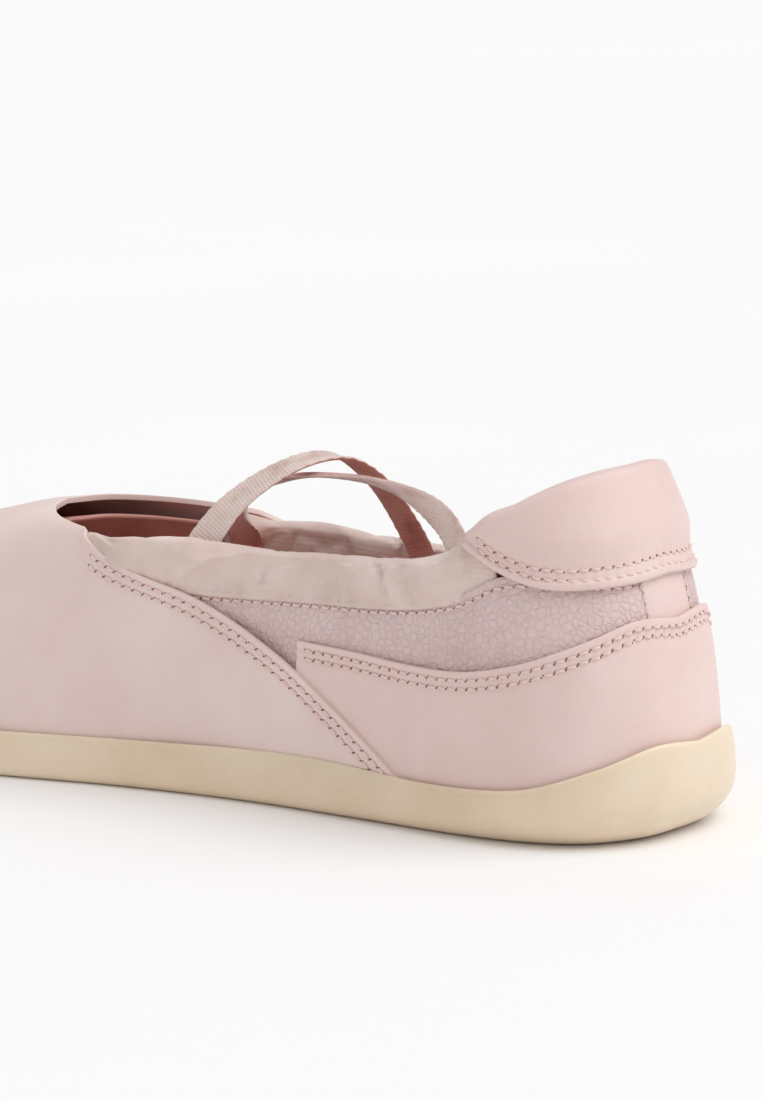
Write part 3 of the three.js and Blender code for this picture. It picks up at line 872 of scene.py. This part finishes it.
def add_stitches(name, paths, material, pitch=2.5, length=1.85, radius=0.33, slant=0.16, arch=0.26,
                 hole_shadows=True):
    """paths: lists of (points, outward vectors) in millimetres."""
    pts, faces, hp, hf = [], [], [], []
    for P, N in paths:
        seg = np.linalg.norm(np.diff(P, axis=0), axis=1)
        L = np.concatenate([[0], np.cumsum(seg)])
        n = int(L[-1] // pitch)
        for i in range(n):
            mid = (i + 0.5) * pitch + rng.uniform(-0.08, 0.08)
            a, b = mid - length / 2, mid + length / 2
            pa, pb, nn = (np.array([np.interp(x, L, V[:, k]) for k in range(3)])
                          for x, V in ((a, P), (b, P), (mid, N)))
            nn = unit(nn)
            side = unit(np.cross(pb - pa, nn))
            sl = slant + rng.uniform(-0.04, 0.04)
            q, f = capsule(pa - side * sl, pb + side * sl, nn, radius, arch)
            base = len(pts)
            pts += q
            faces += [[v + base for v in g] for g in f]
            # A small dark dome at each end of the stitch: painted shadow of the needle hole.
            if hole_shadows:
                for e in (pa - side * sl, pb + side * sl):
                    e = e + unit(e - (pa + pb) / 2) * 0.12
                    base = len(hp)
                    u = unit(np.cross(nn, side))
                    for ring, (rr, up) in enumerate(((0.24, -0.12), (0.2, 0.02), (0.0, 0.025))):
                        for j in range(8 if rr else 1):
                            ang = 2 * math.pi * j / 8
                            hp.append(e + (side * math.cos(ang) + u * math.sin(ang)) * rr + nn * up)
                    for j in range(8):
                        k = (j + 1) % 8
                        hf.append([base + j, base + k, base + 8 + k, base + 8 + j])
                        hf.append([base + 8 + j, base + 8 + k, base + 16])
                    hf.append([base + j for j in range(8)][::-1])
    o = new_object(name, np.array(pts), faces, material)
    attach(o, "root")
    if hp:
        o = new_object(name + "_hole_shadows", np.array(hp), hf, HOLE_SHADOW_MAT)
        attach(o, "root")


def row(line, s, below, off, relief):
    h = climb(s, row_height(line, s, below))
    return at(s, h, off + relief(s, h, 0 * s)), tangents(s, h)[2]


def finely(a, b):
    return np.linspace(a, b, int(abs(b - a) * 2) + 2)


fox_s = finely(2 - FOX_END, FOX_END - 2)
add_stitches("stitches_foxing", [row(foxing_top, fox_s, b, 1.6, foxing_relief) for b in FOX_ROWS],
             THREAD)
add_stitches("stitches_quarter", [
    row(quarter_top, finely(sg * 10, sg * 140), QUARTER_ROW, 0.12, quarter_relief)
    for sg in (-1, 1)], THREAD)


def tab_row(above):
    s = finely(-TAB_END + 2.5, TAB_END - 2.5)
    h = climb(s, tab_bottom(s) + above * slope_factor(tab_bottom, s))
    return at(s, h, 1.32 + tab_bulge(s, h, 0.2)), tangents(s, h)[2]


add_stitches("stitches_tab", [tab_row(above) for above in TAB_ROWS], THREAD)
add_stitches("stitches_wing", [row(wing_top, finely(sg * 66, sg * 148), b, 1.62,
                                   lambda s, h, t: vamp_relief(s, h))
                               for sg in (-1, 1) for b in WING_ROWS], THREAD)


ZIG_LOW, ZIG_HIGH, ZIG_STEP, ZIG_HALF = 24, 58, 1.1, 0.55


def zigzag(sign):
    i = np.arange(35)
    z = ZIG_LOW + i * ZIG_STEP
    s = sign * (BACKSTAY + np.where(i % 2 == 0, ZIG_HALF, -ZIG_HALF))
    h = climb(s, z)
    keep = z < ZIG_HIGH
    P, N = at(s, h, 0.08 + 0 * s)[keep], tangents(s, h)[2][keep]
    return P, N


zp, zf = [], []
for sign in (-1, 1):
    P, N = zigzag(sign)
    for a in range(len(P) - 1):
        q, f = capsule(P[a], P[a + 1], N[a], 0.14, 0.1)
        base = len(zp)
        zp += q
        zf += [[v + base for v in g] for g in f]
o = new_object("stitches_backstay", np.array(zp), zf, ZIGZAG)
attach(o, "root")


# ---------- the stiffeners that stay as the CAD made them ----------
def fibreboard(name, base, dark, light, scale):
    """Pressed fibre: short flecks, a dull face and a fine tooth."""
    p = Paint(name)
    tone = p.ramp(p.noise(scale * 0.08, 5, 0.6), [(0.3, dark), (0.5, base), (0.7, light)])
    fleck = p.ramp(p.noise(scale, 4, 0.7, p.scaled(1, 0.25, 1)), [(0.55, (0, 0, 0)), (0.66, (1, 1, 1))])
    colour = p.mix(p.math("MULTIPLY", fleck, 0.35), tone, dark)
    n = p.bump(p.noise(scale * 1.6, 4, 0.6), 0.35, 0.00015)
    return p.done(colour, 0.82, n)


BOARD = fibreboard("fibreboard", srgb(196, 170, 138), srgb(158, 130, 100), srgb(214, 192, 164), 900)
STIFF = fibreboard("stiffener", srgb(224, 214, 200), srgb(198, 186, 170), srgb(236, 228, 216), 1300)
for name, paint in (("insole_board", BOARD), ("heel_counter", STIFF), ("toe_puff", STIFF)):
    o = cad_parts[name]
    o.data.materials.clear()
    o.data.materials.append(paint)


# ---------- straps ----------
def ribbon(name, places, width=7.4, thick=0.9):
    pts = np.array([p[:3] for p in places], float)
    sides = unit(np.array([p[3:] for p in places], float))
    for i in range(1, len(sides)):
        if sides[i] @ sides[i - 1] < 0:
            sides[i] = -sides[i]
    n = 140
    t = np.linspace(0, len(pts) - 1, n)
    idx = np.arange(len(pts))
    c = curve([[i, *p] for i, p in zip(idx, pts)])(t)
    sd = curve([[i, *p] for i, p in zip(idx, sides)])(t)
    fwd = unit(np.gradient(c, axis=0))
    sd = unit(sd - fwd * np.sum(sd * fwd, 1, keepdims=True))
    up = unit(np.cross(fwd, sd))
    L = np.concatenate([[0], np.cumsum(np.linalg.norm(np.diff(c, axis=0), axis=1))])
    m = 13
    verts, uv = [], []
    x = np.linspace(-0.5, 0.5, m)
    for k in (1, -1):
        for a in x:
            edge = thick / 2 * (1 - 0.75 * np.clip((abs(a) - 0.42) / 0.08, 0, 1) ** 2)
            cup = -0.5 * (2 * a) ** 2
            ruffle = 0.12 * np.sin(L * 2.5 + (0 if a > 0 else 1.5)) * np.clip((abs(a) - 0.4) / 0.1, 0, 1)
            verts.append(c + sd * (a * width) + up * (k * edge + cup + ruffle)[:, None])
            uv.append(np.stack([0 * L + a * width, L], 1))
    V = np.stack(verts, 1)
    UV = np.stack(uv, 1).reshape(-1, 2)
    cols = 2 * m
    order = list(range(m)) + list(range(2 * m - 1, m - 1, -1))
    faces, mats = [], []
    for i in range(n - 1):
        for j in range(cols):
            a, b = order[j], order[(j + 1) % cols]
            faces.append([i * cols + a, i * cols + b, (i + 1) * cols + b, (i + 1) * cols + a])
            # Faces on one side of the band take the darker copy of the elastic, painted shade; the other
            # side, the rims and the ends keep its own colour.
            mats.append(1 if j < m - 1 else 0)
    faces.append([order[j] for j in range(cols)][::-1])
    faces.append([(n - 1) * cols + order[j] for j in range(cols)])
    mats += [0, 0]
    o = new_object(name, V.reshape(-1, 3), faces, BAND_OUT)
    o.data.materials.append(BAND_PAINTED_SHADE)
    o.data.polygons.foreach_set("material_index", mats[:len(o.data.polygons)])
    layer = o.data.uv_layers.new(name="band")
    for loop in o.data.loops:
        layer.data[loop.index].uv = UV[loop.vertex_index]
    return o


def seat(s, h, lean=0.0, off=-5.6):
    p = at(np.array(s), np.array(h), np.array(off))
    a, u, _ = tangents(np.array(s), np.array(h))
    v = a * math.cos(lean) + u * math.sin(lean)
    return [*p, *v]


STRAP_B = [seat(-44, 0.66, 0.8), seat(-49, 0.79, 0.8), seat(-54, 0.93, 0.85),
           [-15, 54, 61.5, 0.35, 0.55, -0.75], [-8, 74, 65.5, 0.85, 0.1, -0.4],
           [0, 97, 64, 1, -0.3, -0.1], [9, 115, 59.5, 1, -0.3, 0], [15.5, 125, 54, 0.9, 0.4, 0.1],
           seat(147, 0.9), seat(147, 0.72)]
STRAP_A = [seat(97, 0.66), seat(97, 0.8), seat(97, 0.94), [17, 86.5, 54, 0, 1, 0.1],
           [9.5, 88, 62.5, 0.1, 1, 0], [1.5, 91.5, 67.8, 0.25, 1, 0.05],
           [-7.5, 97, 66.3, 0.4, 1, 0.1], [-15.5, 105, 59, 0.2, 1, 0.1],
           seat(-125, 0.95), seat(-125, 0.8), seat(-125, 0.66)]
for name, node, places in (("strap_b_elastic", "strap_medial_rear", STRAP_B),
                           ("strap_a_elastic", "strap_lateral_rear", STRAP_A)):
    o = ribbon(name, places)
    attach(o, "root")
    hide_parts(node)


# ---------- stage ----------
def plane(name, size, z, material):
    me = bpy.data.meshes.new(name)
    me.from_pydata([(-size, -size, z), (size, -size, z), (size, size, z), (-size, size, z)], [],
                   [(0, 1, 2, 3)])
    me.materials.append(material)
    o = bpy.data.objects.new(name, me)
    bpy.context.scene.collection.objects.link(o)
    return o


fp = Paint("floor")
floor_mat = fp.done(fp.ramp(fp.noise(3), [(0.3, (0.93, 0.93, 0.93)), (0.7, (0.95, 0.95, 0.95))]), 0.7)
floor = plane("floor", 90, 0, floor_mat)

world = bpy.data.worlds.new("studio")
bpy.context.scene.world = world
world.use_nodes = True
world.node_tree.nodes["Background"].inputs[0].default_value = (1, 1, 1, 1)
world.node_tree.nodes["Background"].inputs[1].default_value = 0.66


SUN_FROM = (0.35, -0.62, 1.0)
sun = bpy.data.lights.new("key", "SUN")
sun.energy, sun.angle = 1.5, 0.9
so = bpy.data.objects.new("key", sun)
so.rotation_euler = (-Vector(SUN_FROM)).to_track_quat("-Z", "Y").to_euler()
bpy.context.scene.collection.objects.link(so)

# ---------- camera ----------
CAM_POS = (-920.7, -574.6, 246.8)
CAM_LOOK = (0.80319, 0.57041, -0.17180)
cam = bpy.data.cameras.new("camera")
cam.sensor_width = 36
cam.lens = 182.7
cam.clip_start, cam.clip_end = 0.01, 50
co = bpy.data.objects.new("camera", cam)
bpy.context.scene.collection.objects.link(co)
co.location = to_world([CAM_POS])[0]
co.rotation_euler = Vector(CAM_LOOK).to_track_quat("-Z", "Y").to_euler()
bpy.context.scene.camera = co
bpy.context.scene.view_settings.view_transform = "Standard"
